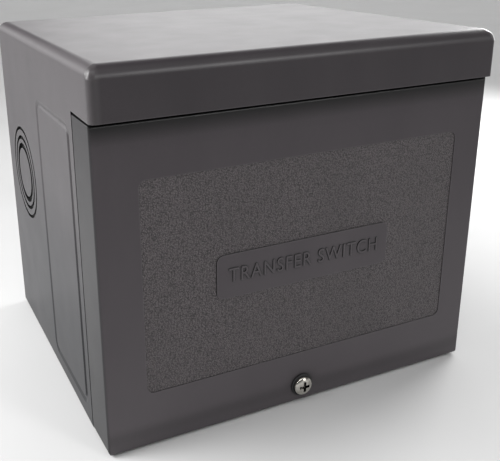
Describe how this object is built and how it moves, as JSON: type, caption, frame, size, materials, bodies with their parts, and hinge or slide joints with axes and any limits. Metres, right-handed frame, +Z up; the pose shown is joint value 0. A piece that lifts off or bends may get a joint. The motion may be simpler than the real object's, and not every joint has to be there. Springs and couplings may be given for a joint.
{
  "type": "automatic transfer switch",
  "caption": "Hooded wall box with a hook-on front cover, holding a double-throw switch worked by two solenoids or a hand lever, with its control board.",
  "frame": {"origin": "Under the middle of the box, on the plane of its floor.", "axes": "+X to the box's right and along its width, +Y to its back and the wall, +Z up."},
  "size_m": [0.17, 0.147, 0.1489],
  "materials": {
    "shell": "moulded grey plastic with a fine grain",
    "screw_bright": "bright nickel plate",
    "rubber": "black rubber",
    "brass": "turned brass",
    "copper": "drawn copper",
    "zinc": "zinc-plated steel",
    "steel": "bare steel",
    "phenolic": "moulded phenolic",
    "red_plastic": "red moulded plastic",
    "winding": "enamelled wire",
    "nylon": "natural nylon",
    "laminate": "green circuit laminate",
    "clear_case": "pale glossy plastic",
    "strip": "green plastic",
    "lens": "green lens",
    "lead_red": "red wire insulation",
    "lead_black": "black wire insulation",
    "lead_blue": "blue wire insulation"
  },
  "bodies": {
    "housing": {"enclosure_body": "shell", "threaded_insert": "brass", "mounting_plate": "zinc", "plate_screw_1": "zinc", "plate_screw_2": "zinc", "plate_screw_3": "zinc", "plate_screw_4": "zinc", "side_plate_right": "zinc", "side_plate_left": "zinc", "coil_bracket_upper": "zinc", "coil_bracket_lower": "zinc", "board_bracket": "zinc", "bar_bracket": "zinc", "neutral_bar": "zinc", "switch_base": "phenolic", "button_housing": "phenolic", "coil_frame_upper": "steel", "coil_frame_lower": "steel", "transformer": "steel", "detent_spring": "steel", "utility_contact_right": "copper", "utility_contact_left": "copper", "generator_contact_right": "copper", "generator_contact_left": "copper", "load_strap_right": "copper", "load_strap_left": "copper", "utility_screw_right": "brass", "utility_screw_left": "brass", "generator_screw_right": "brass", "generator_screw_left": "brass", "load_screw_right": "brass", "load_screw_left": "brass", "ground_bar": "brass", "fuse_holder": "brass", "coil_bobbin_upper": "nylon", "coil_bobbin_lower": "nylon", "neutral_insulator": "nylon", "coil_winding_upper": "winding", "coil_winding_lower": "winding", "control_board": "laminate", "terminal_strip": "strip", "transfer_relay": "clear_case", "control_fuse": "clear_case", "indicator_lamp": "lens", "lead_coil_upper": "lead_red", "lead_coil_lower": "lead_red", "lead_sense_utility": "lead_black", "lead_sense_generator": "lead_blue"},
    "cover": {"front_cover": "shell"},
    "washer": {"screw_washer": "rubber"},
    "screw": {"cover_screw": "screw_bright"},
    "rotor": {"rotor_shaft": "steel", "rotor_hub": "phenolic", "blade_right": "copper", "blade_left": "copper", "crank_arm": "zinc", "transfer_lever": "steel", "lever_grip": "red_plastic"},
    "plunger": {"plunger": "steel"},
    "button": {"test_button": "red_plastic"}
  },
  "joints": [
    {"name": "cover_hook", "type": "hinge", "parent": "housing", "child": "cover", "pos_m": [0, -0.071, 0.13], "axis": [-1, 0, 0], "range_deg": [0, 60]},
    {"name": "screw_travel", "type": "slide", "parent": "cover", "child": "washer", "axis": [0, -1, 0], "range_m": [0, 0.00794]},
    {"name": "screw_turn", "type": "hinge", "parent": "washer", "child": "screw", "pos_m": [0, -0.0714, 0.008], "axis": [0, -1, 0], "range_deg": [0, 3600]},
    {"name": "rotor_throw", "type": "hinge", "parent": "housing", "child": "rotor", "pos_m": [0, 0.014, 0.074], "axis": [-1, 0, 0], "range_deg": [0, 30]},
    {"name": "plunger_slide", "type": "slide", "parent": "housing", "child": "plunger", "axis": [0, 0, 1], "range_m": [0, 0.01346]},
    {"name": "test_press", "type": "slide", "parent": "housing", "child": "button", "axis": [0, 1, 0], "range_m": [0, 0.0012], "stiffness_N_per_m": 300, "springref_m": -0.001}
  ],
  "couplings": [
    {"joint": "plunger_slide", "follows": "rotor_throw", "m_per_rad": 0.025704}
  ]
}
